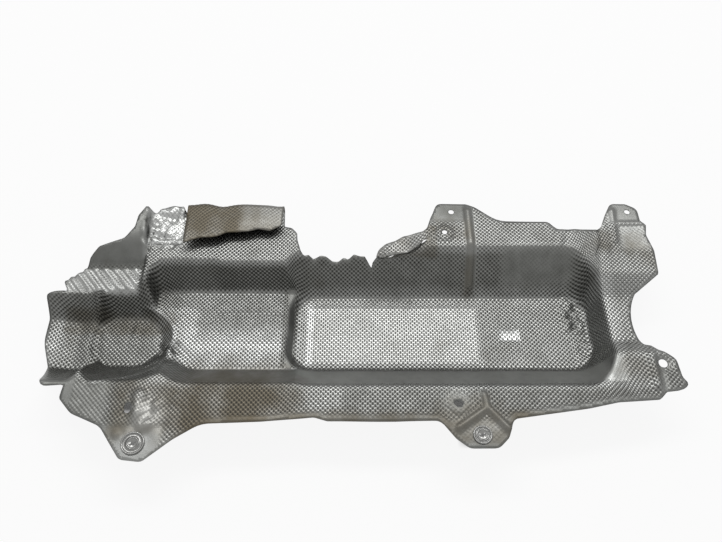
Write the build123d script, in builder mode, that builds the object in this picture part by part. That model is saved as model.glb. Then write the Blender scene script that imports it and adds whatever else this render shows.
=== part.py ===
# Exhaust tunnel heat shield: one embossed aluminium sheet, drawn into a long trough with a deck,
# a bowl and a flared mouth, with flanges and fixing lugs on both sides. Its far edge is torn, and
# a stretch of the far flange is folded back on itself. Two stud clips sit in the near lugs.
# X runs along the trough, Y away from the near flange, Z up. The origin is under the middle of
# the flat pad in the pan's floor, which is the face that the shield rests on.

import os
from math import atan2, degrees, hypot, radians, tan
from build123d import *

os.makedirs("parts", exist_ok=True)

# Sheet and its bends
gauge = 1.0              # thickness of the sheet
rim_height = 60.0        # upper face of the flanges
rim_bend = 7.0           # radius of the upper face where a wall turns into a flange
floor_bend = 8.0         # radius of the upper face where a floor turns into a wall
inner_run = 8.0          # lean of a wall that lies inside the neighbouring recess
overrun = 60.0           # how far a recess runs on into its neighbour or past the sheet's end
open_rim = 1.0           # how far a shallow recess opens above the face that it is pressed into

# Pan, the long flat-bottomed trough
pan_floor_height = 2.2
pan_left = -113.0
pan_right = 268.0
pan_near = -47.0
pan_far = 62.0
pan_step_run = 30.0      # how far the left wall leans outwards up to the rim
pan_end_run = 13.0       # the same for the steep right wall
near_wall_run = 49.0
far_wall_run = 49.0
pan_step_corner = 22.0
pan_end_corner = 44.0

# Flat pad and small pressed mark in the pan's floor
pad_length = 234.0
pad_near = -41.0
pad_far = 50.0
pad_run = 3.0
pad_corner = 4.0
mark_width = 24.0
mark_depth = 16.0
mark_sunk = 1.0
mark_run = 1.5
mark_corner = 2.0
mark_x = 158.0
mark_y = 3.0

# Deck, the raised floor to the left of the pan
deck_floor_height = 17.2
deck_left = -325.0
deck_right = pan_left + 40
deck_near = -55.0
deck_far = 63.5
deck_end_run = 20.0
deck_near_run = 38.0
deck_far_run = 22.0
deck_corner = 16.0

# Bay in the deck's far wall
bay_left = deck_left + 3
bay_right = deck_left + 33
bay_near = 0.0
bay_end_run = 10.0
bay_far_run = 38.0
bay_corner = 12.0

# Bowl at the left, round towards the deck
bowl_floor_height = 4.0
bowl_left = deck_left - 80
bowl_right = deck_left + 20
bowl_near = -44.0
bowl_far = 28.0
bowl_near_run = 48.0
bowl_far_run = 36.0
bowl_end_run = 50.0
bowl_mouth_corner = 13.0
bowl_deck_corner = min(45.0, 2800 / rim_height)   # a taller wall takes a smaller corner

# Flared mouth at the left end, and the ramp from the bowl up to it
mouth_floor_height = 16.0
mouth_near = -50.0
mouth_far = 20.0
mouth_near_run = 39.0
mouth_far_run = 22.0
mouth_corner = 11.0
mouth_left = bowl_left - 60
ramp_near = mouth_near + 8
ramp_run = 23.0
ramp_corner = 7.0

# Ledge above the bowl's far wall, and the raised shoulder beyond it
ledge_height = rim_height - 18
ledge_near = 30.0
ledge_far = 88.0
ledge_right = deck_left - 17
ledge_run = 5.0
ledge_corner = 3.5
shoulder_height = rim_height + 10
shoulder_near = 60.0
shoulder_run = 19.0
shoulder_right = deck_left - 12

# Saddle, the low flange across the right end, and the round cut-out beyond it
saddle_height = rim_height - 12
saddle_near = -28.0
saddle_far = 38.0
saddle_near_run = 22.0
saddle_far_run = 30.0
saddle_end_run = 10.0
saddle_corner = 11.0
saddle_edge = pan_right + 43
notch_radius = 84.0
notch_y = -3.0

# Flanges and lugs
near_flange = 44.0       # from the near rim line to the flange's edge
far_flange = 43.0
near_rim = pan_near - near_wall_run
far_rim = pan_far + far_wall_run
near_edge = near_rim - near_flange
far_edge = far_rim + far_flange
lug_hole_spacing = 250.0  # between the two far lug holes
middle_lug_x = 100.0
left_lug_x = deck_left + 18
end_lug_x = saddle_edge + 22
far_end_lug_x = pan_right + 68
far_lug_x = far_end_lug_x - lug_hole_spacing

# Holes
stud_hole_radius = 6.0   # under each stud clip
lug_hole_radius = 4.0
end_hole_radius = 5.75
drain_hole_radius = 3.6
oval_length = 12.5       # in the near left lug, along Y
oval_width = 8.5
oblong_length = 10.5     # in the near middle lug, along X
oblong_width = 8.0
left_clip_y = near_edge - 28
middle_clip_y = near_edge - 18
far_lug_hole_y = far_edge + 16.5
end_hole_y = near_edge + 75
drain_hole_x = far_lug_x - 12
drain_hole_y = far_rim + 22
oval_x = left_lug_x - 14
oval_y = near_edge + 16
oblong_x = middle_lug_x - 25
oblong_y = near_edge + 21.5

# Ribs and bosses pressed into the flanges, and the bead that runs down the far wall
rib_height = 3.0
fork_width = 9.0         # of the three ribs that meet above the near middle lug
ridge_width = 22.0       # broad ridge of the near left lug
ridge_height = 4.0
crest_width = 12.0       # ribs and step of the two lugs at the right end
step_width = 5.0
step_height = 1.5
drain_dome_radius = 15.0
drain_dome_slope = 60.0  # angle of its side from the vertical
oblong_boss_radius = 14.5
oblong_boss_height = 1.2
rib_slope = 45.0
bead_x = far_lug_x + 23
bead_radius = 5.0
bead_height = 2.5
bead_dive = 6.0          # how far each end of the bead sinks into the sheet

# Folded flap on the far flange
flap_left = bay_right + 4
flap_right = flap_left + 136
flap_fold_y = far_edge + 22
flap_rise = 12.0         # height of the folded part above the flange
flap_length_left = 70.0
flap_length_right = 42.0
flap_tilt = 5.0          # how much higher the free edge lies than the fold

# Torn strip beside the far middle lug
strip_root_x = far_lug_x - 28
strip_rise = 11.0
strip_bend = 20.0
strip_depth = 48.0

# Stud clips
clip_radius_left = 14.0
clip_radius_middle = 11.5
clip_clearance = 0.2
clip_plate = 0.8         # thickness of its pressed steel
clip_roll = 2.0          # width and height of its rolled rim
crimp_reach = 2.0        # how far the neck spreads under the sheet
tongue_gap = 2.6         # width of the slot between the tongues

# Open air above the sheet, larger than the sheet on every side
air_length = 1200.0
air_width = 600.0
air_height = 90.0


def wall_section(floor, rim, low, high):
    # Section of a recess across two of its walls: floor and rim are its edges at the two heights.
    with BuildSketch() as section:
        with BuildLine():
            Polyline((floor[0], low), (floor[1], low), (rim[1], high), (rim[0], high), close=True)
        make_face()
    return section.sketch


def basin(levels, floor, runs, corners, bends, growth):
    # Air inside one drawn recess, from its floor up. levels: floor and rim heights; floor: left,
    # right, near and far edges; runs: how far each of those four walls leans outwards; corners:
    # radii of the two left and of the two right corners; bends: radii at the floor and the rim.
    # growth moves every face outwards by that much, which gives the sheet's under face.
    lean = [run / (levels[1] - levels[0]) for run in runs]
    creep = [growth * (hypot(1, slope) - slope) for slope in lean]
    lows = [edge + side * shift for edge, side, shift in zip(floor, (-1, 1, -1, 1), creep)]
    highs = [edge + side * run for edge, side, run in zip(lows, (-1, 1, -1, 1), runs)]
    low, high = levels[0] - growth, levels[1] - growth
    with BuildPart() as air:
        with BuildSketch(Plane.XZ.offset(-air_width / 2)):
            add(wall_section(lows[:2], highs[:2], low, high))
        extrude(amount=air_width)
        with BuildSketch(Plane.YZ.offset(-air_length / 2)):
            add(wall_section(lows[2:], highs[2:], low, high))
        extrude(amount=air_length, mode=Mode.INTERSECT)
        middle = (low + high) / 2
        for edges, corner in zip((slice(0, 2), slice(-2, None)), corners):
            upright = air.edges().filter_by(GeomType.LINE).filter_by_position(
                Axis.Z, middle - 0.01, middle + 0.01).sort_by(Axis.X)
            fillet(upright[edges], corner + growth)
        if bends:
            fillet(air.faces().sort_by(Axis.Z)[0].edges(), bends[0] + growth)
            with BuildSketch(Plane.XY.offset(high)):
                Rectangle(air_length, air_width)
            extrude(amount=air_height)
            rim = air.faces().filter_by(Plane.XY).filter_by_position(
                Axis.Z, high - 0.01, high + 0.01)[0]
            fillet(rim.inner_wires()[0].edges(), bends[1] - growth)
    return air.part


def drawn_recesses(growth):
    # The main recesses: pan, deck, bay, bowl and mouth, each with the open air above the flanges.
    bends = (floor_bend, rim_bend)
    pan = basin((pan_floor_height, rim_height), (pan_left, pan_right, pan_near, pan_far),
                (pan_step_run, pan_end_run, near_wall_run, far_wall_run),
                (pan_step_corner, pan_end_corner), bends, growth)
    deck = basin((deck_floor_height, rim_height), (deck_left, deck_right, deck_near, deck_far),
                 (deck_end_run, deck_end_run, deck_near_run, deck_far_run),
                 (deck_corner, deck_corner), bends, growth)
    bay = basin((deck_floor_height, rim_height + open_rim),
                (bay_left, bay_right, bay_near, deck_far),
                (bay_end_run, bay_end_run, bay_end_run, bay_far_run), (bay_corner, bay_corner),
                None, growth)
    bowl = basin((bowl_floor_height, rim_height), (bowl_left, bowl_right, bowl_near, bowl_far),
                 (inner_run, bowl_end_run, bowl_near_run, bowl_far_run),
                 (bowl_mouth_corner, bowl_deck_corner), bends, growth)
    mouth = basin((mouth_floor_height, rim_height),
                  (mouth_left - overrun, bowl_left, mouth_near, mouth_far),
                  (inner_run, inner_run, mouth_near_run, mouth_far_run),
                  (mouth_corner, mouth_corner), bends, growth)
    return [pan, deck, bay, bowl, mouth]


def shallow_recesses(growth):
    # Ramp up to the mouth, saddle across the right end, flat pad and pressed mark in the pan.
    ramp = basin((bowl_floor_height, mouth_floor_height + open_rim),
                 (bowl_left, bowl_left + overrun, ramp_near, mouth_far),
                 (ramp_run, inner_run, inner_run, inner_run), (ramp_corner, ramp_corner),
                 None, growth)
    saddle = basin((saddle_height, rim_height + open_rim),
                   (pan_right - 20, saddle_edge + 2 * overrun, saddle_near, saddle_far),
                   (saddle_end_run, saddle_end_run, saddle_near_run, saddle_far_run),
                   (saddle_corner, saddle_corner), None, growth)
    pad = basin((gauge, pan_floor_height + open_rim),
                (-pad_length / 2, pad_length / 2, pad_near, pad_far),
                (pad_run, pad_run, pad_run, pad_run), (pad_corner, pad_corner), None, growth)
    mark = basin((pan_floor_height - mark_sunk, pan_floor_height + open_rim),
                 (mark_x - mark_width / 2, mark_x + mark_width / 2,
                  mark_y - mark_depth / 2, mark_y + mark_depth / 2),
                 (mark_run, mark_run, mark_run, mark_run), (mark_corner, mark_corner),
                 None, growth)
    return [ramp, saddle, pad, mark]


def rib(start, end, width, height, growth):
    # Raised rib on a flange, with pointed ends and sides at 45 degrees.
    half = width / 2 - growth * (hypot(1, 1) - 1)
    run = Vector(*end) - Vector(*start)
    reach = run.length / 2
    with BuildPart() as raised:
        with BuildSketch(Plane.XY.offset(rim_height - growth)):
            with Locations(Location((start[0] + run.X / 2, start[1] + run.Y / 2),
                                    degrees(atan2(run.Y, run.X)))):
                Polygon((-reach - half, 0), (-reach, -half), (reach, -half), (reach + half, 0),
                        (reach, half), (-reach, half), align=None)
        extrude(amount=height, taper=rib_slope)
    return raised.part


def boss(centre, radius, height, side_slope, growth):
    # Raised round boss on a flange. side_slope is its side's angle from the vertical.
    slope = tan(radians(side_slope))
    with BuildPart() as raised:
        with BuildSketch(Plane.XY.offset(rim_height - growth)):
            with Locations(centre):
                Circle(radius - growth * (hypot(1, slope) - slope))
        extrude(amount=height, taper=side_slope)
    return raised.part


def wall_bead(growth):
    # Half-round bead that runs in from the far middle lug and down the pan's far wall. Its two
    # straight runs sink into the sheet towards their ends.
    sunk = bead_radius - bead_height
    lean = far_wall_run / (rim_height - pan_floor_height)
    top = rim_height - sunk
    foot = pan_floor_height + floor_bend
    crest_y = pan_far + sunk * hypot(1, lean) + far_wall_run
    foot_y = pan_far + sunk * hypot(1, lean) + lean * (foot - pan_floor_height)
    with BuildPart() as bead:
        with BuildLine(Plane.YZ.offset(bead_x)) as path:
            Polyline((far_edge + 24, top - bead_dive), (crest_y, top), (foot_y + bead_dive, foot))
        with BuildSketch(Plane(path.line @ 0, z_dir=path.line % 0)):
            Circle(bead_radius - growth)
        sweep(transition=Transition.RIGHT)
    return bead.part


def flange_beads(growth):
    # Ribs and bosses on the flanges and lugs.
    fork = (middle_lug_x + 9, near_rim - 28)
    return [
        rib((middle_lug_x + 6, near_rim - 11), fork, fork_width, rib_height, growth),
        rib(fork, (middle_lug_x - 27, near_edge - 9), fork_width, rib_height, growth),
        rib(fork, (middle_lug_x + 32, near_edge - 11), fork_width, rib_height, growth),
        boss((oblong_x, oblong_y), oblong_boss_radius, oblong_boss_height, rib_slope, growth),
        rib((left_lug_x - 2, near_rim - 13), (left_lug_x + 8, near_edge - 4),
            ridge_width, ridge_height, growth),
        boss((drain_hole_x, drain_hole_y), drain_dome_radius, rib_height, drain_dome_slope, growth),
        rib((end_lug_x - 12, near_rim + 44), (end_lug_x - 14, near_rim + 4),
            crest_width, ridge_height, growth),
        rib((far_end_lug_x - 22, far_edge + 19), (far_end_lug_x - 27, far_rim + 12),
            fork_width, rib_height, growth),
        rib((far_end_lug_x - 14, far_edge - 4), (far_end_lug_x + 14, far_edge - 4),
            step_width, step_height, growth),
    ]


def pressed_block(growth):
    # Everything below the sheet's upper face (growth 0) or below its under face (one gauge).
    margin = 40 - 10 * growth
    with BuildPart() as block:
        Box(air_length - 2 * margin, air_width - 2 * margin, 3 * rim_height)
        for air in drawn_recesses(growth):
            add(air, mode=Mode.SUBTRACT)
        for air in shallow_recesses(growth):
            add(air, mode=Mode.SUBTRACT)
        with BuildSketch(Plane.XY.offset(ledge_height - 20)):
            with Locations((shoulder_right - growth, shoulder_near)):
                Rectangle(200, 140, align=(Align.MAX, Align.MIN))
        extrude(amount=shoulder_height - growth - ledge_height + 20)
        add(basin((ledge_height, shoulder_height + open_rim),
                  (mouth_left - overrun, ledge_right, ledge_near, ledge_far),
                  (ledge_run, ledge_run, ledge_run, shoulder_run), (ledge_corner, ledge_corner),
                  None, growth), mode=Mode.SUBTRACT)
        for raised in flange_beads(growth):
            add(raised)
        add(wall_bead(growth))
    return block.part


def sheet_outline():
    # Edge of the sheet in plan, counter-clockwise from the far corner of the mouth. Each corner
    # is x, y and the radius that rounds it.
    mouth_edge = [
        (mouth_left + 1, mouth_far + 22, 6), (mouth_left + 2, -15, 60),
        (mouth_left + 15, mouth_near + 8, 60), (mouth_left + 29, near_rim - 3, 8),
        (mouth_left + 61, near_rim + 2, 0)]
    left_lug = [
        (left_lug_x - 99, near_rim - 16, 8), (left_lug_x - 81, near_rim - 35, 20),
        (left_lug_x - 43, near_edge - 7, 25), (left_lug_x - 29, near_edge - 26, 20),
        (left_lug_x - 13, near_edge - 47, 10), (left_lug_x + 13, near_edge - 52, 10),
        (left_lug_x + 45, near_edge - 23, 50), (left_lug_x + 75, near_edge - 4, 40)]
    near_run = [(pan_left + 15, near_edge + 5, 8), (pan_left + 31, near_edge - 1, 8)]
    middle_lug = [
        (middle_lug_x - 48, near_edge, 14), (middle_lug_x - 27, near_edge - 33, 16),
        (middle_lug_x + 24, near_edge - 34, 14), (middle_lug_x + 42, near_edge + 4, 16)]
    end_lug = [
        (pan_right - 37, near_edge + 15, 60), (pan_right, near_edge + 23, 25),
        (end_lug_x - 15, near_edge + 26, 8), (end_lug_x - 6, near_edge + 37, 3),
        (end_lug_x + 10, near_edge + 41, 4), (end_lug_x + 20, near_edge + 49, 4),
        (end_lug_x + 13, near_edge + 61, 8), (end_lug_x + 16, near_edge + 88, 12),
        (end_lug_x - 2, near_edge + 94, 5), (end_lug_x - 7, near_edge + 103, 5),
        (end_lug_x - 16, near_edge + 104, 0)]
    far_end_lug = [
        (far_end_lug_x - 12, saddle_far + 3, 0), (far_end_lug_x + 21, far_rim - 45, 0),
        (far_end_lug_x + 24, far_rim - 7, 20), (far_end_lug_x + 18, far_rim + 19, 12),
        (far_end_lug_x + 22, far_edge - 6, 4), (far_end_lug_x + 15, far_edge - 1, 4),
        (far_end_lug_x + 15, far_edge + 22, 12), (far_end_lug_x, far_edge + 31, 8),
        (far_end_lug_x - 22, far_edge + 31, 10), (far_end_lug_x - 33, far_edge + 10, 20),
        (far_end_lug_x - 44, far_edge - 15, 12)]
    far_run = [(pan_right - 36, far_edge - 14, 12), (pan_right - 47, far_edge - 1, 8)]
    far_lug = [
        (far_lug_x + 64, far_edge, 40), (far_lug_x + 34, far_edge + 25, 14),
        (far_lug_x + 22, far_edge + 31, 8), (far_lug_x - 20, far_edge + 32, 10),
        (far_lug_x - 31, far_edge + 2, 20), (far_lug_x - 36, far_edge - 17, 3)]
    torn_edge = [
        (far_lug_x - 44, far_rim + 12, 0), (far_lug_x - 62, far_rim, 3),
        (far_lug_x - 88, far_rim - 5, 3), (far_lug_x - 110, far_rim - 9, 0),
        (far_lug_x - 113, far_rim - 25, 0), (far_lug_x - 116, far_rim - 11, 0),
        (far_lug_x - 130, far_rim - 9, 4), (far_lug_x - 150, far_rim - 12, 4),
        (far_lug_x - 168, far_rim - 14, 4), (far_lug_x - 184, far_rim - 9, 3),
        (far_lug_x - 207, far_rim - 11, 0), (far_lug_x - 210, far_rim - 7, 0),
        (far_lug_x - 216, far_rim + 10, 4), (far_lug_x - 217, far_rim + 22, 3),
        (far_lug_x - 225, far_rim + 30, 3)]
    flap_root = [
        (flap_right, far_rim + 30, 0), (flap_right, flap_fold_y - flap_rise / 2 - 2, 0),
        (flap_left, flap_fold_y - flap_rise / 2 - 2, 0), (flap_left, flap_fold_y + 2, 2)]
    shoulder_edge = [
        (shoulder_right + 20, flap_fold_y + 2, 6), (shoulder_right + 7, flap_fold_y - 13, 5),
        (shoulder_right - 6, flap_fold_y - 8, 3), (shoulder_right - 15, flap_fold_y - 24, 10),
        (shoulder_right - 17, flap_fold_y - 42, 8), (shoulder_right - 29, flap_fold_y - 59, 12),
        (shoulder_right - 63, flap_fold_y - 70, 8), (shoulder_right - 76, ledge_far + 8, 6),
        (shoulder_right - 83, ledge_far - 3, 7), (shoulder_right - 109, ledge_far - 23, 0),
        (shoulder_right - 101, ledge_far - 38, 0)]
    corners = (mouth_edge + left_lug + near_run + middle_lug + end_lug + far_end_lug + far_run
               + far_lug + torn_edge + flap_root + shoulder_edge)
    with BuildSketch() as plan:
        with BuildLine():
            FilletPolyline([(x, y) for x, y, _ in corners], radius=[r for _, _, r in corners],
                           close=True)
        make_face()
        with Locations((saddle_edge + notch_radius, notch_y)):
            Circle(notch_radius, mode=Mode.SUBTRACT)
    return plan.sketch


def folded_flap():
    # Stretch of the far flange that is folded up and back over the sheet, by a half-round fold.
    inner = flap_rise / 2
    root_y = flap_fold_y - gauge - inner
    top = rim_height + flap_rise
    back = flap_fold_y - flap_length_left
    front = flap_fold_y - flap_length_right
    with BuildPart() as flap:
        with BuildSketch(Plane.YZ.offset(flap_left)):
            with BuildLine():
                Line((root_y - 8, rim_height), (root_y, rim_height))
                bend = CenterArc((root_y, rim_height + inner), inner, -90, 180)
                Line(bend @ 1, (back - 6, top + flap_tilt))
                offset(amount=gauge, side=Side.RIGHT)
            make_face()
        extrude(amount=flap_right - flap_left)
        with BuildSketch(Plane.XY.offset(rim_height + gauge + 1)):
            with BuildLine():
                FilletPolyline((flap_left - 1, back), (flap_left + 17, back + 4),
                               (flap_left + 60, back + 21), (flap_left + 92, front - 8),
                               (flap_right - 16, front - 4), (flap_right + 1, front + 6),
                               (flap_right + 1, back - 40), (flap_left - 1, back - 40),
                               radius=3, close=True)
            make_face()
        extrude(amount=3 * flap_rise, mode=Mode.SUBTRACT)
    return flap.part


def curled_strip():
    # Torn strip of the far flange, still joined beside the far middle lug, that curls upwards.
    raised = rim_height + strip_rise
    with BuildPart() as strip:
        with BuildSketch(Plane.XZ.offset(-far_rim + 8)):
            with BuildLine():
                FilletPolyline((strip_root_x, rim_height), (strip_root_x - 18, rim_height),
                               (strip_root_x - 40, raised), (strip_root_x - 58, raised),
                               (strip_root_x - 78, raised - 8), radius=strip_bend)
                offset(amount=gauge, side=Side.LEFT)
            make_face()
        extrude(amount=-strip_depth)
        with BuildSketch():
            with BuildLine():
                Polyline((strip_root_x + 2, far_rim + 28), (strip_root_x - 32, far_rim + 26),
                         (strip_root_x - 48, far_rim + 19), (strip_root_x - 75, far_rim + 1),
                         (strip_root_x - 77, far_rim - 5), (strip_root_x - 56, far_rim - 4),
                         (strip_root_x - 34, far_rim - 6), (strip_root_x - 22, far_rim),
                         (strip_root_x - 6, far_rim + 16), (strip_root_x + 2, far_rim + 18),
                         close=True)
            make_face()
        extrude(amount=2 * rim_height, mode=Mode.INTERSECT)
    return strip.part


with BuildPart() as shield_panel:
    add(pressed_block(0))
    add(pressed_block(gauge), mode=Mode.SUBTRACT)
    with BuildSketch(Plane.XY.offset(-rim_height)):
        add(sheet_outline())
    extrude(amount=3 * rim_height, mode=Mode.INTERSECT)
    add(folded_flap())
    add(curled_strip())
    with Locations((left_lug_x, left_clip_y), (middle_lug_x, middle_clip_y)):
        Hole(stud_hole_radius)
    with Locations((far_lug_x, far_lug_hole_y), (far_end_lug_x, far_lug_hole_y)):
        Hole(lug_hole_radius)
    with Locations((end_lug_x, end_hole_y)):
        Hole(end_hole_radius)
    with Locations((drain_hole_x, drain_hole_y)):
        Hole(drain_hole_radius)
    with BuildSketch(Plane.XY.offset(rim_height + 2 * ridge_height)):
        with Locations((oval_x, oval_y)):
            SlotOverall(oval_length, oval_width, rotation=90)
        with Locations((oblong_x, oblong_y)):
            SlotOverall(oblong_length, oblong_width)
    extrude(amount=-4 * ridge_height, mode=Mode.SUBTRACT)
shield_panel.part.label = "shield_panel"
export_step(shield_panel.part, "parts/shield_panel.step")


def stud_clip(x, y, radius):
    # Round clip: a plate with a raised rim, a neck that is crimped under the sheet, and two
    # tongues that leave a slot for the stud.
    neck = stud_hole_radius - clip_clearance
    wall = clip_plate + 2 * clip_clearance
    crimp_top = -gauge - clip_clearance
    with BuildPart() as clip:
        with BuildSketch(Plane((x, y, rim_height), x_dir=(1, 0, 0), z_dir=(0, -1, 0))):
            with BuildLine():
                Polyline((0, 0), (neck - wall, 0), (neck - wall, crimp_top - clip_plate),
                         (neck + crimp_reach, crimp_top - clip_plate),
                         (neck + crimp_reach, crimp_top), (neck, crimp_top), (neck, 0),
                         (radius, 0), (radius, clip_roll), (radius - clip_roll, clip_roll),
                         (radius - clip_roll, clip_plate), (0, clip_plate), close=True)
            make_face()
        revolve(axis=Axis((x, y, 0), (0, 0, 1)))
        with BuildSketch(Plane.XY.offset(rim_height - clip_plate)):
            with Locations((x, y)):
                SlotOverall(2 * (neck - wall - clip_plate), tongue_gap)
                Circle(0.75 * tongue_gap)
        extrude(amount=3 * clip_plate, mode=Mode.SUBTRACT)
    return clip.part


with BuildPart() as stud_clip_left:
    add(stud_clip(left_lug_x, left_clip_y, clip_radius_left))
stud_clip_left.part.label = "stud_clip_left"
export_step(stud_clip_left.part, "parts/stud_clip_left.step")

with BuildPart() as stud_clip_middle:
    add(stud_clip(middle_lug_x, middle_clip_y, clip_radius_middle))
stud_clip_middle.part.label = "stud_clip_middle"
export_step(stud_clip_middle.part, "parts/stud_clip_middle.step")
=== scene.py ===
# Exhaust tunnel heat shield: the embossed sheet and its two stud clips, on the CAD frame.
# The sheet is one surface of two parameters, column and row. Its shape is worked out in
# millimetres from the recesses drawn into it, then folded and curled where it is torn.
import bmesh
import bpy
import math
import numpy as np
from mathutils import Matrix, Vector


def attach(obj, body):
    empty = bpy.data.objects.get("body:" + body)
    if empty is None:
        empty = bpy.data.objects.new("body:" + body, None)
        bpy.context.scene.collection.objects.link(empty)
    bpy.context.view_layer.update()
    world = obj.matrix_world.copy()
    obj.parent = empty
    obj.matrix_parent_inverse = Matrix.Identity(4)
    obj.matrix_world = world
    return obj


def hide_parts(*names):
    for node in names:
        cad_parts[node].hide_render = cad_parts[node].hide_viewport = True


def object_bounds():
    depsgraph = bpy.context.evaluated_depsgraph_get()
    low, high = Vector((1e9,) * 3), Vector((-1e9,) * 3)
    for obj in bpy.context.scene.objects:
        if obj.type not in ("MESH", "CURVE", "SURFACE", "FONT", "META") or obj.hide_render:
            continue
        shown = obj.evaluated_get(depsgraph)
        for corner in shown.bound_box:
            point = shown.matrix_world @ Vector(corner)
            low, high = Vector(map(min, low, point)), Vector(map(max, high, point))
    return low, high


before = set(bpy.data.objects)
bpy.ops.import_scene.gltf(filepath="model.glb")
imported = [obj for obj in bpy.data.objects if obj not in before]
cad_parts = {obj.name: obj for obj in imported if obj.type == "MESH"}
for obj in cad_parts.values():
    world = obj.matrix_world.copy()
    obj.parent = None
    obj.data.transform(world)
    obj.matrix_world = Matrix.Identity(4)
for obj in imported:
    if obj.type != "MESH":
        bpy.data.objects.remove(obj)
cadBox = [list(corner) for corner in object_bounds()]
print("frame loaded, box", cadBox)

mm = 0.001

sheetValues = {
    "gauge": 1.0,    # thickness of the sheet
    "cell": 3.0,    # spacing of the grid along the surface
    "snap": 1.5,    # points this near to the outline move onto it
    "bars": (50, 72),    # heights between which the holes are cut
    "weld": 0.02,    # points nearer than this become one
    "embossHeight": 0.30,    # of one pressed dot above or below the middle of the sheet
    "rimHeight": 60.0, "flange": (56, 3),    # the flange, and where a height counts as flange
    "midY": 5.0,    # the section along the trough that spaces the columns
    "columnSigma": 9, "rowSigma": 4,    # how far columns and rows are evened out
    "trough": (118, 60), "troughY": 6,    # columns are evened out beyond this, about this line
    "bendSigma": 2.1,    # how softly walls turn into floors and flanges
    "plainRim": 3.5,    # width of the plain strip along the edges
    "cornerPoints": 6,    # points on each rounded corner of the outline
    "fineX": (-500, 401), "fineY": (-230, 281),    # the 1 mm grid that holds the heights
    "sectionX": (-480, 376), "sectionY": (-200, 262), "sectionStep": 0.5,
    "slopeReach": 0.7,    # half the distance over which a slope is read
    "sliver": 0.02, "outside": 0.15,    # twice the least area; how far out a middle may lie
}

# Recesses: floor outline left, right, near, far; floor height; how far the left, right, near and
# far walls lean outwards up to the flange; corner radius of the floor
recessValues = {
    "pan": dict(floor=(-132, 268, -47, 62), height=2.2, runs=(30, 15, 49, 49), corner=30),
    "deck": dict(floor=(-290, -73, -55, 63.5), height=17.2, runs=(26, 20, 38, 22), corner=36),
    "bay": dict(floor=(-322, -230, 0, 63.5), height=17.2, runs=(12, 10, 10, 26), corner=12),
    "bowl": dict(floor=(-405, -312, -44, 28), height=4.0, runs=(8, 76, 46, 36), corner=33),
    "mouth": dict(floor=(-560, -395, -50, 20), height=None, runs=(10, 8, 39, 38), corner=10),
    "saddle": dict(floor=(248, 420, -28, 38), height=48.0, runs=(10, 10, 22, 30), corner=9),
    "ledge": dict(floor=(-560, -342, 48, 88), height=42.0, runs=(3, 3, 4, 4), corner=3),
}
# floor of the mouth along X: a hump at the bowl's end, a valley, then the flare
mouthProfile = {"x": [-464, -450, -437, -424, -414, -404, -396, -380],
                "z": [19, 15.5, 10, 6, 7.5, 9.5, 4, 3.5]}

# Shoulder at the far left: its right end and near side, its height where it starts, how much it
# rises and over what run. The pan's left wall bends left at its near end.
shoulderValues = {"right": -337, "near": 60, "start": 88, "low": 42, "rise": 33, "run": 18}
panBend = {"start": (8, 50), "shift": 4}

# Edge of the flat sheet before it is folded, counter-clockwise: x, y and corner radius
edgeValues = {
    "mouthEnd": [(-463.5, 42, 5), (-463, -15, 60), (-452, -46, 50), (-431, -97, 8), (-404, -94, 2)],
    "leftLug": [(-406, -112, 8), (-388, -131, 20), (-350, -147, 25), (-336, -166, 20),
                (-320, -187, 10), (-294, -190, 10), (-262, -163, 50), (-232, -144, 40)],
    "nearRun": [(-160, -141.5, 60), (-98, -136, 8), (-82, -141, 8), (0, -141.5, 90)],
    "middleLug": [(52, -140, 14), (69, -162, 12), (84, -174, 14), (118, -174, 14),
                  (131, -161, 12), (139, -138, 10)],
    "endLug": [(231, -125, 60), (268, -117, 25), (318, -114, 8), (328, -104, 3), (343, -102, 6),
               (352, -99, 5), (358, -93, 6), (352, -84, 5), (350, -60, 12), (338, -50, 6),
               (331, -46, 5), (326, -38, 4), (317.8, -36, 1)],
    "farEndLug": [(324, 41, 1), (357, 66, 3), (359.5, 104, 20), (354, 130, 12), (358, 148, 4),
                  (351, 153, 4), (351, 176, 12), (336, 184.5, 8), (314, 184.5, 10),
                  (303, 164, 20), (292, 139, 12)],
    "farRun": [(232, 140, 12), (221, 153, 8)],
    "farLug": [(150, 154, 40), (120, 179, 14), (108, 184.5, 8), (66, 185, 10), (55, 156, 16),
               (50, 141, 3)],
    "strip": [(34, 141, 4), (16, 139, 3), (4, 131, 3), (-9, 127, 2), (-18, 119, 2), (-22, 108, 2),
              (-12, 106, 2), (2, 110, 3), (20, 112, 3), (37, 120, 4), (52, 124.5, 1),
              (53, 123.5, 1)],
    "tornEdge": [(43, 118, 2), (24, 106.5, 3), (6, 104.5, 2), (-2, 101.5, 2), (-20, 101, 2),
                 (-26, 96, 1), (-28, 90, 1), (-33, 97, 1), (-37, 101, 1), (-44, 101, 2),
                 (-52, 103.5, 2), (-60, 99, 3), (-66, 101, 2), (-74, 96.5, 3), (-82, 97, 4),
                 (-90, 101, 2), (-98, 102, 3), (-108, 99, 3), (-114, 102, 2),
                 (-121, 99.5, 1), (-125, 104, 1), (-130, 121, 4), (-131, 133, 3), (-139, 142, 3)],
    "flap": [(-149, 144, 2), (-152, 217, 3), (-168, 228, 3), (-184, 226, 6), (-196, 231, 8),
             (-212, 233, 8), (-228, 231, 10), (-250, 241, 10), (-271, 246, 6), (-284, 250, 2),
             (-285.5, 171, 1), (-288, 167, 1), (-291, 171, 1)],
    "shoulder": [(-293, 177, 5), (-317, 178, 6), (-330, 165, 5), (-343, 170, 3), (-352, 154, 10),
                 (-354, 136, 8), (-366, 119, 12), (-400, 108, 8), (-413, 96, 6), (-420, 85, 7),
                 (-446, 65, 2), (-438, 50, 1)],
}
# round cut-out at the right end, between two places along Y
notchValues = {"x": 395.0, "y": -3.0, "radius": 84.0, "near": -36.0, "far": 41.0}

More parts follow.
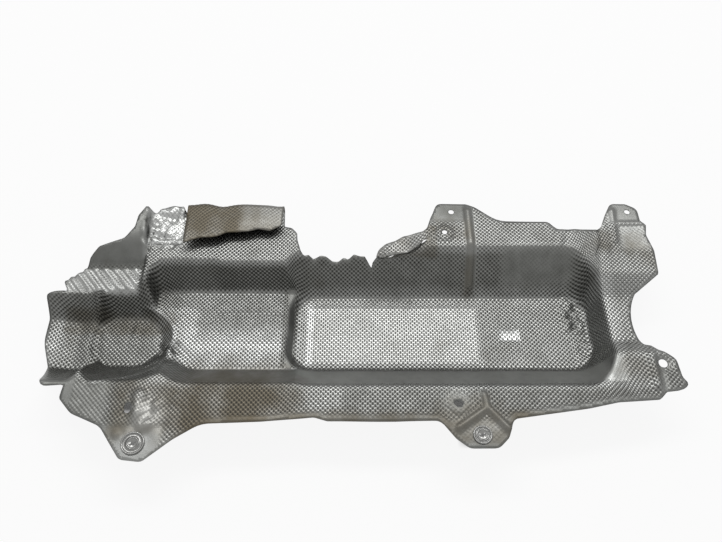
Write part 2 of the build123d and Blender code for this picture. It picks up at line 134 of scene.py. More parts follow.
# The flap: where the fold starts, its radius and turn, its two ends, the bulges of its fold (x,
# half width, height), and how it sags towards its free edge
foldValues = {
    "startY": 169.0, "radius": 6.0, "turn": 3.085, "left": -288.0, "right": -150.0,
    "bulges": [(-262, 13, 2.5), (-236, 12, -3.0), (-205, 18, 1.5), (-156, 12, -2.5)],
    "bulgeRun": 8, "sagStart": (20, 45), "sag": -1.6,
    "waves": 1.1, "waveDraw": (61, 5, 45, 110),
}
# The torn strip: where along X it rises and droops, how much, its tilt, its limits, the slit
# that parts it from the flange, and how it leans over the sheet
curlValues = {
    "rootX": 50.0, "topX": 16.0, "droopX": 2.0, "tipX": -20.0, "rise": 11.0, "tipDrop": 7.0,
    "tilt": 0.05, "tiltY": 118, "left": -30, "right": 58, "near": 105,
    "slitY": 104, "slitBend": 8, "slitSlope": 0.5, "slitSoft": 1.0,
    "lean": 1.35, "leanBack": 0.3, "offset": 5, "offsetStart": (52, 10),
}

# Sharp creases of the crumpled sheet, with shade painted dark along them; the last three paint
# the shadow under the torn strip: ends a and b, width and depth
creaseValues = [
    (-319, -46, -309, -32, 3.0, 1.5), (-309, -32, -299, -20, 3.0, 2.0),
    (-299, -20, -285, -17, 3.0, 1.6), (-315, -11, -305, -23, 3.0, 1.5),
    (-305, -23, -289, -28, 3.0, 2.0), (-305, -37, -285, -31, 3.0, 1.3),
    (-332, 111, -312, 116, 3.5, 2.0), (-312, 116, -288, 112, 3.5, 2.0),
    (-341, 150, -336, 128, 3.5, 1.6), (-336, 128, -333, 104, 3.5, 2.2),
    (-242, 20, -193, 24, 2.5, 0.8), (-193, 24, -148, 18, 2.5, 0.9),
    (238, 43, 253, 30, 3.0, 1.2), (253, 30, 270, 24, 3.0, 1.0), (244, 10, 263, 26, 3.0, 1.0),
    (288, 142, 290, 121, 3.0, 1.4), (290, 121, 278, 96, 3.0, 1.4),
    (-344, 62, -336, 50, 3.0, 1.2), (12, 100, 20, 88, 2.5, 1.0), (-28, 96, -26, 84, 2.5, 1.2),
    (-18, 101.5, 6, 104, 3.0, 1.6), (6, 104, 24, 106.5, 3.5, 1.6), (24, 106.5, 44, 118, 4.0, 1.6),
]

# painted shade: a crease this deep is painted fully dark in its middle
fullyShaded = 1.6    # depth from which a crease is dark in its middle

# Beads and domes: ends a and b, distance of the foot from that line, run of the side, height.
# Those of the flange fade out below it, those of the deck beyond its floor.
beadValues = {
    "flange": [
        (75, -118.5, 75, -118.5, 15, 3, 1.2), (-309, -109, -299, -144, 12, 8, 4.0),
        (-329, -156, -329, -156, 6.5, 3, 1.2), (74, 133, 74, 133, 16, 7, 3.0),
        (320, -54, 319, -96, 7.5, 6, 4.5), (335, -66, 335, -66, 14, 6, -1.8),
        (314, 173, 309, 120, 6.0, 5, 3.0), (320, 150, 351, 150, 4.5, 4, 2.0)],
    "bowl": [
        (-294, -30, -306, -60, 6, 6, 1.4), (-306, -60, -334, -79, 6, 6, 1.4),
        (-334, -79, -370, -91, 6, 6, 1.4)],
    "deck": [(-238, 30, -132, 27, 4, 3.5, -1.1), (-262, -8, -140, -10, 8, 8, 0.9)],
    "patch": [(-334, 128, -294, 124, 5, 5, -2.6)],
}
deckFloor = (-270, -150, -50, 58, 14, 1.0)
# forked ribs of the near middle lug
forkLines = [(106, -107, 109, -124), (109, -124, 73, -149), (109, -124, 132, -151)]
forkValues = {"foot": (6.5, 5.5), "height": 4.2, "plain": (8, 4)}
# bead down the far wall and back along the lug, with the wider plain band on it
wallBead = {
    "x": 109, "foot": (7.5, 6.5), "height": 5.2, "near": (62, 12), "far": (182, 10),
    "plain": (9, 3), "plainNear": (64, 12), "plainFar": (184, 6),
}
# thin bead round the bowl's end, and a painted highlight line along it: height of its middle on the
# bowl's wall
bowlRim = {
    "height": 1.9, "level": 18.5, "width": 2.2, "left": (-350, 20), "top": (22, 3),
    "highlightLevel": 19.0, "highlightLeft": (-340, 20), "highlightY": (-22, 60), "highlightWidth": 4.5,
    "highlightLines": [(-292, -20, -297, -42), (-297, -42, -306, -60), (-306, -60, -334, -79),
                  (-334, -79, -370, -91)],
}
# pad pressed into the pan's floor, and the small mark beside it
pressedPads = [(-114, 114, -38, 47, 4, -1.2), (147.5, 168.5, -3.5, 9.5, 2.5, -1.6)]

# Round holes and slots: x, y, radius and half the straight length along X or Y
holeValues = {
    "leftStud": (-307, -168, 6.0, 0, 0), "middleStud": (100, -158, 6.0, 0, 0),
    "farLug": (86, 170.5, 4.0, 0, 0), "farEndLug": (336, 170.5, 4.0, 0, 0),
    "endLug": (333, -65, 5.75, 0, 0), "drain": (74, 133, 3.6, 0, 0),
    "oval": (-321, -124, 4.25, 0, 2.0), "oblong": (75, -118.5, 4.0, 1.25, 0),
}


def ramp(t):
    # smooth step: 3t^2 - 2t^3 on t held between 0 and 1
    t = np.clip(t, 0, 1)
    return t * t * (3 - 2 * t)


def softBox(x, y, left, right, near, far, border):
    # one inside a rectangle and falling to nought over a border outside it
    gapX = np.maximum(np.maximum(left - x, x - right), 0)
    gapY = np.maximum(np.maximum(near - y, y - far), 0)
    return 1 - ramp(np.hypot(gapX, gapY) / border)


def softSpot(x, y, cx, cy, rx, ry):
    # bell over an ellipse: exp of minus the squared distance in radii
    return np.exp(-(((x - cx) / rx) ** 2 + ((y - cy) / ry) ** 2))


def nearestOn(x, y, ax, ay, bx, by):
    # nearest point of the straight line from a to b: a plus the share of b - a, which is the dot
    # product with b - a over its squared length, held between 0 and 1
    length2 = max((bx - ax) ** 2 + (by - ay) ** 2, 1e-12)
    t = np.clip(((x - ax) * (bx - ax) + (y - ay) * (by - ay)) / length2, 0, 1)
    return ax + t * (bx - ax), ay + t * (by - ay)


def capsule(x, y, *line):
    # distance from the straight line between a and b
    px, py = nearestOn(x, y, *line)
    return np.hypot(x - px, y - py)


def nearestLine(x, y, lines):
    # distance from the nearest of several straight lines
    return np.minimum.reduce([capsule(x, y, *line) for line in lines])


def rise(t, start):
    # smooth step up from a place over a run: ramp of (t - place) / run
    return ramp((t - start[0]) / start[1])


def fall(t, end):
    # smooth step down to a place over a run: ramp of (place - t) / run
    return ramp((end[0] - t) / end[1])


def beads(x, y, group):
    # sum of a group's beads: height times a smooth step from the foot inwards over the side's run
    return sum(row[6] * fall(capsule(x, y, *row[:4]), row[4:6]) for row in beadValues[group])


def soft(x, y, row):
    # one soft shape times its strength, which stands last: a row of six is a box, of five a spot
    return (softBox if len(row) == 6 else softSpot)(x, y, *row[:-1]) * row[-1]


def added(x, y, rows):
    # sum of soft shapes
    return sum(soft(x, y, row) for row in rows)


def strongest(x, y, patches, *others):
    # the largest of the soft shapes and of the other fields given, held between 0 and 1
    fields = [soft(x, y, row) for row in patches.values()]
    return np.clip(np.maximum.reduce([*fields, *others]), 0, 1)


def waves(x, y, seed, count, shortest, longest):
    # sum of sine waves of random direction, length and phase, scaled to a height of about one
    dice = np.random.default_rng(seed)
    total = np.zeros(np.broadcast(x, y).shape)
    for _ in range(count):
        angle = dice.uniform(0, math.tau)
        pitch = dice.uniform(shortest, longest)
        phase = dice.uniform(0, math.tau)
        total += np.sin((x * math.cos(angle) + y * math.sin(angle)) * math.tau / pitch + phase)
    return total / math.sqrt(count)


def smoothRows(values, sigma, axis):
    # Gaussian mean along one axis, with the ends carried on in a straight line
    reach = int(math.ceil(3 * sigma))
    values = np.moveaxis(values, axis, 0)
    step = np.arange(reach, 0, -1).reshape((-1,) + (1,) * (values.ndim - 1))
    head = values[:1] - step * (values[1:2] - values[:1])
    tail = values[-1:] + step[::-1] * (values[-1:] - values[-2:-1])
    longer = np.concatenate([head, values, tail])
    kernel = np.exp(-0.5 * (np.arange(-reach, reach + 1) / sigma) ** 2)
    kernel /= kernel.sum()
    result = sum(k * longer[i:i + len(values)] for i, k in enumerate(kernel))
    return np.moveaxis(result, 0, axis)


def recessHeight(x, y, floor, height, runs, corner):
    # floor height, plus the distance outside the floor's rounded outline times the slope of the
    # wall there; at a corner the two walls' slopes are mixed by the squares of the direction
    left, right, near, far = floor
    depth = sheetValues["rimHeight"] - height
    outX = np.maximum(left + corner - x, x - right + corner)
    outY = np.maximum(near + corner - y, y - far + corner)
    apart = np.hypot(np.maximum(outX, 0), np.maximum(outY, 0))
    away = apart + np.minimum(np.maximum(outX, outY), 0) - corner
    share = np.where(apart > 0, np.maximum(outX, 0) ** 2 / np.maximum(apart, 1e-9) ** 2,
                     outX > outY)
    slopeX = np.where(x < (left + right) / 2, depth / runs[0], depth / runs[1])
    slopeY = np.where(y < (near + far) / 2, depth / runs[2], depth / runs[3])
    return height + np.maximum(away, 0) * (slopeX * share + slopeY * (1 - share))


def pressedShape(x, y):
    # lowest of the recesses, held under the flange or under the shoulder, whose height is its low
    # end plus its rise times 1 - exp(-distance / run)
    s = shoulderValues
    shoulder = s["low"] + s["rise"] * (1 - np.exp(-np.maximum(y - s["start"], 0) / s["run"]))
    shape = np.where((x < s["right"]) & (y > s["near"]), shoulder, sheetValues["rimHeight"])
    bent = x + panBend["shift"] * fall(y, panBend["start"]) * (x < 0)
    for name, values in recessValues.items():
        given = dict(values)
        if name == "mouth":
            given["height"] = np.interp(x, mouthProfile["x"], mouthProfile["z"])
        shape = np.minimum(shape, recessHeight(bent if name == "pan" else x, y, **given))
    return shape


def fineShape():
    # the pressed shape on a 1 mm grid, softened at every bend, with its beads and pads
    s = sheetValues
    xs, ys = np.arange(*s["fineX"], 1.0), np.arange(*s["fineY"], 1.0)
    x, y = np.meshgrid(xs, ys, indexing="ij")
    z = smoothRows(smoothRows(pressedShape(x, y), s["bendSigma"], 0), s["bendSigma"], 1)
    return xs, ys, z + details(x, y, z)


def details(x, y, z):
    # beads, ribs, domes and pads as heights added to the smooth pressed shape
    flat = rise(z, sheetValues["flange"])
    f, w, rim = forkValues, wallBead, bowlRim
    add = beads(x, y, "flange") * flat
    add += f["height"] * fall(nearestLine(x, y, forkLines), f["foot"]) * flat
    add += (w["height"] * fall(np.abs(x - w["x"]), w["foot"])
            * rise(y, w["near"]) * fall(y, w["far"]))
    # thin bead round the bowl's end: a bell over the height of the bowl's wall
    bowl = recessHeight(x, y, **recessValues["bowl"])
    add += (rim["height"] * np.exp(-((bowl - rim["level"]) / rim["width"]) ** 2)
            * rise(x, rim["left"]) * fall(z, rim["top"]))
    add += beads(x, y, "bowl") + beads(x, y, "deck") * soft(x, y, deckFloor)
    return add + added(x, y, pressedPads)


print("recesses", len(recessValues))


def sampler(xs, ys, z):
    # bilinear reading of a grid of heights at any place
    def read(x, y):
        u = np.clip((x - xs[0]) / (xs[1] - xs[0]), 0, len(xs) - 1.001)
        v = np.clip((y - ys[0]) / (ys[1] - ys[0]), 0, len(ys) - 1.001)
        i, j = u.astype(int), v.astype(int)
        a, b = u - i, v - j
        return ((1 - a) * (1 - b) * z[i, j] + a * (1 - b) * z[i + 1, j]
                + (1 - a) * b * z[i, j + 1] + a * b * z[i + 1, j + 1])
    return read


def roundedEdge(corners, arcPoints):
    # closed outline: each corner gives the points of the arc that is tangent to both its sides
    c = np.array(corners, float)
    p, radius = c[:, :2], c[:, 2]
    before, after = np.roll(p, 1, 0) - p, np.roll(p, -1, 0) - p
    lengthB, lengthA = np.linalg.norm(before, axis=1), np.linalg.norm(after, axis=1)
    before, after = before / lengthB[:, None], after / lengthA[:, None]
    half = np.arccos(np.clip((before * after).sum(1), -0.9999, 0.9999)) / 2
    tangent = np.minimum(radius / np.tan(half), 0.48 * np.minimum(lengthA, lengthB))
    t = np.linspace(0, 1, arcPoints)[None, :, None]
    start = (p + before * tangent[:, None])[:, None]
    end = (p + after * tangent[:, None])[:, None]
    arc = (1 - t) ** 2 * start + 2 * t * (1 - t) * p[:, None] + t ** 2 * end
    return arc.reshape(-1, 2)


def edgeDistance(x, y, outline):
    # signed distance to the closed outline, negative inside, with the nearest point on it
    best = np.full(x.shape, 1e18)
    nearX, nearY = np.zeros_like(x), np.zeros_like(y)
    inside = np.zeros(x.shape, bool)
    for (ax, ay), (bx, by) in zip(outline, np.roll(outline, -1, 0)):
        px, py = nearestOn(x, y, ax, ay, bx, by)
        d2 = (x - px) ** 2 + (y - py) ** 2
        closer = d2 < best
        best = np.where(closer, d2, best)
        nearX, nearY = np.where(closer, px, nearX), np.where(closer, py, nearY)
        if ay != by:
            inside ^= ((ay > y) != (by > y)) & (x < (bx - ax) * (y - ay) / (by - ay) + ax)
    distance = np.sqrt(best) * np.where(inside, -1, 1)
    # round cut-out at the right end
    n = notchValues
    dx, dy = x - n["x"], y - n["y"]
    r = np.maximum(np.hypot(dx, dy), 1e-9)
    notch = np.where((y > n["near"]) & (y < n["far"]), n["radius"] - r, -1e9)
    cut = notch > distance
    nearX = np.where(cut, n["x"] + dx / r * n["radius"], nearX)
    nearY = np.where(cut, n["y"] + dy / r * n["radius"], nearY)
    return np.maximum(distance, notch), nearX, nearY


def gridPlaces(read):
    # columns at equal steps along the trough's floor, rows at equal steps along each section
    s = sheetValues
    cell = s["cell"]
    xf = np.arange(*s["sectionX"], s["sectionStep"])
    yf = np.arange(*s["sectionY"], s["sectionStep"])
    z = read(xf, np.full_like(xf, s["midY"]))
    along = np.concatenate([[0], np.cumsum(np.hypot(np.diff(xf), np.diff(z)))])
    columnX = np.interp(np.arange(0, along[-1], cell), along, xf)[:, None]
    evenX = smoothRows(columnX, s["columnSigma"], 0)
    z = read(columnX + 0 * yf, yf + 0 * columnX)
    step = np.hypot(np.diff(yf), np.diff(z, axis=1))
    across = np.concatenate([np.zeros_like(columnX), np.cumsum(step, 1)], 1)
    middle = int(np.argmin(np.abs(yf - s["midY"])))
    across -= across[:, middle:middle + 1]
    low = math.floor(across[:, 0].min() / cell)
    high = math.ceil(across[:, -1].max() / cell)
    rows = np.arange(low, high + 1) * cell
    # one interpolation for all sections, each shifted by more than a section's length
    shift = (np.arange(len(columnX)) * 4000.0)[:, None]
    rowY = np.interp((rows + shift).ravel(), (across + shift).ravel(),
                     np.tile(yf, len(columnX))).reshape(len(columnX), len(rows))
    over = np.maximum(rows - across[:, -1:], 0)
    under = np.minimum(rows - across[:, :1], 0)
    rowY = np.where(over > 0, yf[-1] + over, np.where(under < 0, yf[0] + under, rowY))
    rowY = smoothRows(rowY, s["rowSigma"], 0)
    return evenX + (columnX - evenX) * fall(np.abs(rowY - s["troughY"]), s["trough"]), rowY


def foldAndCurl(x, y, read):
    # place and upward normal of each point of the flat sheet once it is pressed, folded, curled
    reach = sheetValues["slopeReach"]
    slopeX = (read(x + reach, y) - read(x - reach, y)) / (2 * reach)
    slopeY = (read(x, y + reach) - read(x, y - reach)) / (2 * reach)
    normal = np.stack([-slopeX, -slopeY, np.ones_like(x)], -1)
    normal /= np.linalg.norm(normal, axis=-1, keepdims=True)
    place = np.stack([x, y, read(x, y)], -1)
    place[..., 2] += crumples(x, y) - creases(x, y)[0]
    # the flap goes round the fold in a circle, then straight back over the flange, and sags
    f = foldValues
    onFlap = ((x > f["left"]) & (x < f["right"]) & (y > f["startY"]))[..., None]
    run = np.maximum(y - f["startY"], 0)
    turn = np.minimum(run / f["radius"], f["turn"])
    straight = np.maximum(run - f["radius"] * f["turn"], 0)
    bulge = sum(high * softSpot(x, 0, at, 0, wide, 1) for at, wide, high in f["bulges"])
    sag = (f["waves"] * waves(x, run, *f["waveDraw"]) + f["sag"]) * rise(run, f["sagStart"])
    foldY = (f["startY"] + f["radius"] * np.sin(turn) + straight * math.cos(f["turn"])
             + bulge * ramp(run / f["bulgeRun"]))
    foldZ = (sheetValues["rimHeight"] + f["radius"] * (1 - np.cos(turn))
             + straight * math.sin(f["turn"]) + sag)
    ny, nz = normal[..., 1], normal[..., 2]
    turned = np.stack([normal[..., 0], ny * np.cos(turn) - nz * np.sin(turn),
                       ny * np.sin(turn) + nz * np.cos(turn)], -1)
    place = np.where(onFlap, np.stack([x, foldY, foldZ], -1), place)
    normal = np.where(onFlap, turned, normal)
    # the torn strip rises from its root, droops at its tip and leans over the sheet
    c = curlValues
    slit = c["slitY"] + c["slitSlope"] * np.maximum(x - c["slitBend"], 0)
    strip = (ramp((y - slit) / c["slitSoft"])
             * (x < c["right"]) * (x > c["left"]) * (y > c["near"]))
    up = c["rise"] * ramp((c["rootX"] - x) / (c["rootX"] - c["topX"]))
    down = c["tipDrop"] * ramp((c["droopX"] - x) / (c["droopX"] - c["tipX"]))
    lean = (c["lean"] * np.maximum(up - c["leanBack"] * down, 0)
            + c["offset"] * fall(x, c["offsetStart"]))
    place[..., 2] += (up - down + c["tilt"] * (y - c["tiltY"])) * strip
    place[..., 1] -= lean * strip
    return place, normal


# Unevenness in soft shapes: height added all over, height of the waves, and the waves' seed,
# number, shortest and longest length
crumpleValues = {
    "bowlNearSide": ((-296, -34, 22, 20, 1), 0, 2.2, (11, 6, 14, 34)),
    "crinkledPatch": ((-336, -292, 112, 176, 10, 1), 0, 1.7, (21, 7, 11, 32)),
    "panWallFar": ((238, 262, 12, 56, 8, 1), 1.8, 1.3, (31, 5, 12, 26)),
    "panWallNear": ((250, 272, -44, -10, 8, 1), 1.2, 0.9, (33, 5, 12, 26)),
    "farFlange": ((236, 300, 100, 135, 12, 1), 0, 0.8, (35, 5, 14, 34)),
    "bowlLeft": ((-396, -8, 9, 26, 1), 0, 1.0, (71, 4, 12, 30)),
    "bowlRight": ((-347, 8, 8, 22, 1), 0, 1.2, (73, 4, 12, 30)),
    "nearLeftLug": ((-300, -130, 28, 24, 1), 0, 1.9, (41, 6, 11, 28)),
    "tornEdge": ((-126, 44, 98, 112, 6, 1), 0, 1.4, (51, 5, 18, 40)),
}
slowWaves = {"height": 0.35, "draw": (3, 7, 60, 170)}
# the crinkled patch left of the flap also curls up at its far and left sides
curledPatch = {"far": (158, 18), "farLift": 4.0, "left": (-318, 14), "leftLift": 2.0}
# stretched dots make slanting bars on the ledge
barValues = {"shape": (-440, -348, 52, 84, 5, 1.6), "slant": (0.77, 0.64), "pitch": 10.5}
mouthCorners = [(-455, 47, 16, 14, 5.0), (-440, -96, 22, 16, 3.0)]


def crumples(x, y):
    # slow waves all over, then in each soft shape its lift and waves; the bars are a sine wave
    z = slowWaves["height"] * waves(x, y, *slowWaves["draw"])
    for shape, lift, height, draw in crumpleValues.values():
        z += soft(x, y, shape) * (lift + height * waves(x, y, *draw))
    c, b = curledPatch, barValues
    curl = c["farLift"] * rise(y, c["far"]) + c["leftLift"] * fall(x, c["left"])
    z += soft(x, y, crumpleValues["crinkledPatch"][0]) * (curl + beads(x, y, "patch"))
    along = b["slant"][0] * x + b["slant"][1] * y
    z += soft(x, y, b["shape"]) * np.sin(along * math.tau / b["pitch"])
    return z + added(x, y, mouthCorners)


def creases(x, y):
    # the deepest crease at each place: a line's depth times a smooth fall to nought over its
    # width; the second value is the painted shade on it, one in the middle of a deep line
    depth = np.zeros_like(x)
    dark = np.zeros_like(x)
    for *line, width, deep in creaseValues:
        near = ramp(1 - capsule(x, y, *line) / width)
        depth = np.maximum(depth, deep * near)
        dark = np.maximum(dark, near * min(deep / fullyShaded, 1))
    return depth, dark


# Where the embossing is weak or missing: soft shapes, whose strength is how much is missing
plainPatches = {
    "farMiddleLug": (62, 112, 158, 200, 10, 1),
    "farEndLug": (310, 360, 155, 200, 10, 1),
    "farEndFlange": (322, 352, 112, 146, 12, 0.8),
    "leftFlange": (-404, -352, -150, -96, 10, 0.6),
    "nearLeftLug": (-345, -280, -200, -150, 12, 1),
    "nearLeftRidge": (-300, -132, 24, 22, 0.7),
    "nearMiddleLug": (66, 132, -200, -142, 10, 0.8),
    "oblongDome": (75, -118.5, 17, 17, 1),
    "endLugFold": (324, 330, -100, -60, 6, 0.8),
    "endHole": (333, -65, 11, 11, 0.8),
    "shoulder": (-470, -338, 92, 170, 5, 1),
    "mouthFlange": (-450, -395, -115, -88, 12, 1),
    "ledge": (-440, -348, 50, 84, 5, 0.7),
    "drawnFarWall": (165, 240, 84, 100, 22, 0.8),
    "crinkledPatch": (-336, -292, 112, 200, 8, 0.6),
    "flapRight": (-205, -140, 172, 260, 12, 0.7),
    "flapLeft": (-284, -205, 172, 260, 6, 0.35),
}
# plain strips along the near edge, on the near wall and on the step: limits with their runs
plainEdge = {"width": (-9, 3), "far": (-105, 10), "left": (-250, 40), "share": 0.85}
plainWall = {"near": (-92, 6), "far": (-50, 6), "left": (-275, 40), "right": (292, 14),
             "share": 0.9}
plainStep = (-140, -134, -52, 66, 2, 0.95)


def embossMask(x, y, inner):
    # one where the sheet is embossed, nought on plain lugs and strips: the product of one minus
    # each of them; inner is the distance from the edge, negative on the sheet
    mask = ramp(-inner / sheetValues["plainRim"] - 0.2)
    e, n = plainEdge, plainWall
    mask *= 1 - e["share"] * rise(inner, e["width"]) * fall(y, e["far"]) * rise(x, e["left"])
    mask *= 1 - (n["share"] * rise(y, n["near"]) * fall(y, n["far"])
                 * rise(x, n["left"]) * fall(x, n["right"]))
    mask *= 1 - soft(x, y, plainStep)
    f, w = forkValues, wallBead
    onBead = (fall(np.abs(x - w["x"]), w["plain"])
              * rise(y, w["plainNear"]) * fall(y, w["plainFar"]))
    onFork = fall(nearestLine(x, y, forkLines), f["plain"])
    return mask * (1 - strongest(x, y, plainPatches, onBead, onFork))


def buildSheet():
    # The grid is cut along the outline: points near it move onto it, whole cells stay, and a cell
    # with one corner outside becomes a triangle. Every second point is raised and the others are
    # sunk, and each cell is split along its two low points, which gives small pyramids. The under
    # side is the same grid moved down by the gauge, and a strip closes the edge.
    s = sheetValues
    read = sampler(*fineShape())
    x, y = gridPlaces(read)
    corners = [corner for stretch in edgeValues.values() for corner in stretch]
    outline = roundedEdge(corners, s["cornerPoints"])
    inner, nearX, nearY = edgeDistance(x, y, outline)
    snap = np.abs(inner) < s["snap"]
    x, y = np.where(snap, nearX, x), np.where(snap, nearY, y)
    keep = (inner < 0) | snap
    columns, rows = x.shape
    i, j = np.meshgrid(np.arange(columns), np.arange(rows), indexing="ij")
    print("flat sheet", np.ptp(i[keep]) * s["cell"], "by", np.ptp(j[keep]) * s["cell"], "mm")
    place, normal = foldAndCurl(x, y, read)
    mask = embossMask(x, y, inner)
    high = (i + j) % 2 == 0
    bump = np.where(high, 1.0, -1.0) * s["embossHeight"] * mask
    upper = place + normal * bump[..., None]
    lower = upper - normal * s["gauge"]

    # triangles of every cell, split between its two low points
    index = i * rows + j
    cells = np.stack([index[:-1, :-1], index[1:, :-1], index[1:, 1:], index[:-1, 1:]], -1)
    cells = cells.reshape(-1, 4)
    split = high[:-1, :-1].reshape(-1, 1)
    triangles = np.concatenate([np.where(split, cells[:, [0, 1, 3]], cells[:, [0, 1, 2]]),
                                np.where(split, cells[:, [1, 2, 3]], cells[:, [0, 2, 3]])])
    # a cell with exactly one corner outside keeps the triangle of the other three
    inside = keep.ravel()[cells]
    three = cells[inside.sum(1) == 3]
    missing = np.argmin(inside[inside.sum(1) == 3], 1)
    turned = np.stack([three[np.arange(len(three)), (missing + k) % 4] for k in (1, 2, 3)], -1)
    triangles = np.concatenate([triangles[np.tile(inside.all(1), 2)], turned])
    # slivers outside the outline are left out
    flat = np.stack([x.ravel(), y.ravel()], -1)[triangles]
    test = np.flatnonzero(snap.ravel()[triangles].all(1))
    outside = np.zeros(len(triangles), bool)
    centre = flat[test].mean(1)
    outside[test] = edgeDistance(centre[:, 0], centre[:, 1], outline)[0] > s["outside"]
    ab, ac = flat[:, 1] - flat[:, 0], flat[:, 2] - flat[:, 0]
    doubled = ab[:, 0] * ac[:, 1] - ab[:, 1] * ac[:, 0]
    triangles = triangles[~outside & (doubled > s["sliver"])]
    # edge strip: sides used by one triangle only
    sides = np.concatenate([triangles[:, [0, 1]], triangles[:, [1, 2]], triangles[:, [2, 0]]])
    key = np.sort(sides, 1)
    _, firstAt, times = np.unique(key[:, 0] * index.size + key[:, 1], return_index=True,
                                  return_counts=True)
    border = sides[firstAt[times == 1]]
    n = index.size
    strip = np.concatenate([np.stack([border[:, 1], border[:, 0], border[:, 0] + n], -1),
                            np.stack([border[:, 1], border[:, 0] + n, border[:, 1] + n], -1)])
    faces = np.concatenate([triangles, triangles[:, ::-1] + n, strip])
    used, faces = np.unique(faces, return_inverse=True)
    faces = faces.reshape(-1, 3)
    points = np.concatenate([upper.reshape(-1, 3), lower.reshape(-1, 3)])[used] * mm
    # no height leaves the CAD's box
    points[:, 2] = np.clip(points[:, 2], cadBox[0][2], cadBox[1][2] - 0.1 * mm)
    print("triangles", len(faces), "border", len(border))

    mesh = bpy.data.meshes.new("embossedSheet")
    mesh.from_pydata(points.tolist(), [], faces.tolist())
    mesh.polygons.foreach_set("use_smooth", np.arange(len(faces)) < len(faces) - len(strip))
    flatX, flatY = np.tile(x.ravel(), 2)[used], np.tile(y.ravel(), 2)[used]
    lattice = np.tile(np.stack([i.ravel(), j.ravel()], -1), (2, 1))[used]
    for name, values in {"flatSheet": np.stack([flatX, flatY], -1) * mm,
                         "dotLattice": lattice}.items():
        layer = mesh.uv_layers.new(name=name)
        layer.data.foreach_set("uv", values[faces.ravel()].astype(np.float32).ravel())
    # the crease, clean and soot fields also carry painted shade and sheen
    fields = {
        "emboss": np.tile(mask.ravel(), 2)[used], "pad": strongest(flatX, flatY, padPatches),
        "creaseShade": creases(flatX, flatY)[1], "stain": stainMask(flatX, flatY),
        "cleanAndSheen": cleanAndSheenMask(flatX, flatY), "sootAndShade": sootAndShadeMask(flatX, flatY, points[:, 2] / mm),
    }
    for name, values in fields.items():
        field = mesh.attributes.new(name, "FLOAT", "POINT")
        field.data.foreach_set("value", np.asarray(values, np.float32))
    mesh.update()
    return mesh


def keepLargest(obj):
    # faces joined through shared edges are one patch, and only the largest patch stays
    shape = bmesh.new()
    shape.from_mesh(obj.data)
    left = set(shape.faces)
    patches = []
    while left:
        patch = [left.pop()]
        for face in patch:
            near = {other for edge in face.edges for other in edge.link_faces} & left
            left -= near
            patch += near
        patches.append(patch)
    loose = [face for patch in sorted(patches, key=len)[:-1] for face in patch]
    print(obj.name, "loose faces dropped", len(loose))
    bmesh.ops.delete(shape, geom=loose, context="FACES")
    shape.to_mesh(obj.data)
    shape.free()


def applied(obj, kind, **settings):
    # one modifier with these settings, applied at once
    step = obj.modifiers.new(kind.lower(), kind)
    for key, value in settings.items():
        setattr(step, key, value)
    bpy.context.view_layer.objects.active = obj
    bpy.ops.object.modifier_apply(modifier=step.name)


def linked(name, data):
    # a new object of the scene
    obj = bpy.data.objects.new(name, data)
    bpy.context.scene.collection.objects.link(obj)
    return obj


# Where the material changes, and where sheen and shade are painted: soft shapes
padPatches = {"pad": (-115, 115, -39, 48, 2, 1), "mark": (147, 172, -4, 10, 2, 1)}
stainPatches = {
    "nearLeftFlange": (-240, -170, -142, -100, 90, 1),
    "nearEdge": (-260, 330, -160, -134, 16, 0.6),
    "nearLeftLug": (-330, -280, -150, -96, 24, 0.6),
    "forkedRibs": (100, -138, 42, 26, 0.6),
    "ledge": (-440, -300, 8, 28, 12, 0.5),
    "tornStrip": (-24, 60, 104, 142, 8, 0.5),
}
# these add up where they meet
stainedEnd = [(345, 105, 22, 40, 0.55), (300, -70, 26, 22, 0.5)]
stainedFar = [(290, 120, 22, 26, 0.5), (92, 140, 30, 26, 0.4), (104, 114, 66, 176, 6, 0.35)]
stainedFlap = {"left": -290, "right": -148, "near": 168, "weak": (-215, 14), "weaker": 0.45}
# brighter metal, partly clean and partly painted sheen and highlights, as on the ledge, the deck
# and the ridge
cleanAndSheenPatches = {
    "crinkledPatch": (-332, -294, 116, 172, 10, 0.62),
    "ledge": (-440, -345, 50, 82, 5, 1),
    "deckStripe": (-270, -140, -20, 0, 26, 0.8),
    "deck": (-280, -145, -50, 60, 20, 0.4),
    "nearLeftRidge": (-300, -130, 22, 26, 0.8),
    "leftClip": (-307, -168, 24, 24, 0.4),
    "mouthEnd": (-452, -12, 14, 34, 0.6),
    "endLug": (325, -70, 26, 30, 0.4),
    "endFlange": (272, 290, -40, 60, 10, 0.4),
    "nearMiddleLug": (100, -150, 34, 22, 0.3),
    "mark": (147, 172, -4, 10, 3, 1),
    "pad": (-118, 118, -42, 51, 3, 0.16),
    "padLeftEdge": (-117, -109, -42, 51, 2, 0.7),
    "nearWall": (-300, 262, -92, -56, 10, 0.5),
}
# painted highlight on the torn strip beyond a slanting line: its soft box, the line's slope and
# height
stripHighlight = {"shape": (-22, 46, 107, 142, 3, 0.7), "slope": 0.45, "start": 100}
# darker patches: painted shade in the bowl, on the shoulder, the drawn far wall and the step; the
# flanges and the mouth only darker
sootAndShadePatches = {
    "bowl": (-410, -330, -36, 30, 20, 0.6),
    "shoulder": (-460, -344, 92, 160, 6, 0.7),
    "leftFlange": (-420, -320, -150, -90, 14, 0.7),
    "drawnFarWall": (165, 240, 84, 100, 22, 0.8),
    "nearFlange": (-60, 330, -200, -104, 12, 0.6),
    "step": (-147, -131, -52, 64, 3, 1),
    "mouth": (-470, -415, -60, 30, 10, 0.5),
}
# two lugs painted darker, added up
darkenedLugs = [(335, -75, 30, 34, 0.9), (88, 172, 34, 24, 1)]
